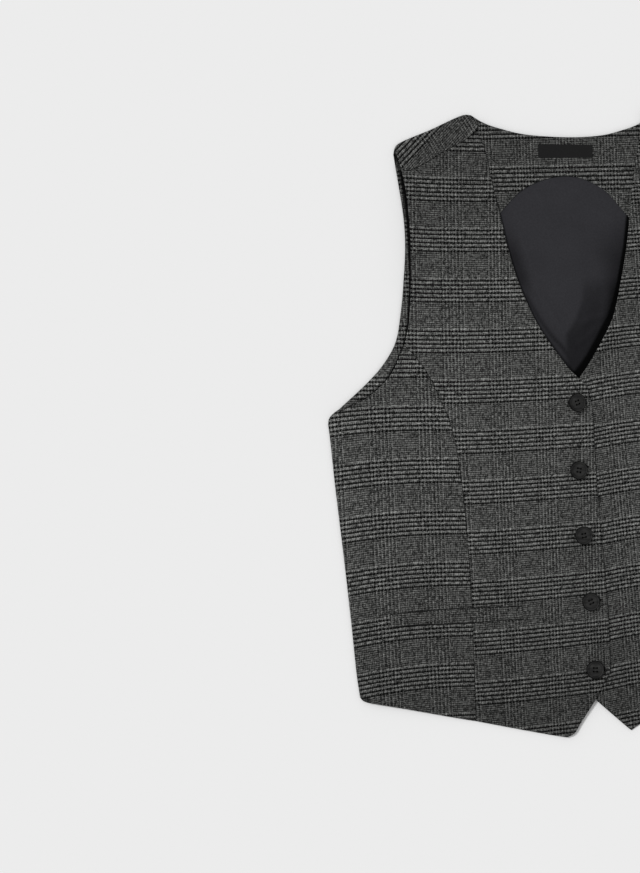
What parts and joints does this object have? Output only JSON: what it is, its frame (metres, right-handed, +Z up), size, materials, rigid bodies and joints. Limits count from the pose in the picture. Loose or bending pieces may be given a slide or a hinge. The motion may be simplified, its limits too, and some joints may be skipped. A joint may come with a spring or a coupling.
{
  "type": "suit waistcoat",
  "caption": "Fitted woven waistcoat with a V neckline, princess-seamed fronts, welt pockets, pointed hems and a lined back, laid flat and buttoned.",
  "frame": {"origin": "middle of the overall plan, on the surface the garment lies on", "axes": "+Z up from the surface, towards the buttoned fronts; +Y along the centre line, from hem to neck; +X across, towards the wearer's left"},
  "size_m": [0.4596, 0.5768, 0.0112],
  "materials": {
    "check_cloth": "charcoal and grey glen check twill",
    "lining": "smooth charcoal lining satin",
    "label": "woven black tape",
    "button": "charcoal, low sheen"
  },
  "bodies": {
    "root": {"back_panel": "check_cloth", "back_facing": "check_cloth", "back_lining": "lining", "neck_label": "label", "right_side_front": "check_cloth", "right_centre_front": "check_cloth", "right_shoulder_strip": "check_cloth", "right_pocket_welt": "check_cloth", "left_side_front": "check_cloth", "left_centre_front": "check_cloth", "left_shoulder_strip": "check_cloth", "left_pocket_welt": "check_cloth", "button_1": "button", "button_2": "button", "button_3": "button", "button_4": "button", "button_5": "button"}
  },
  "joints": []
}
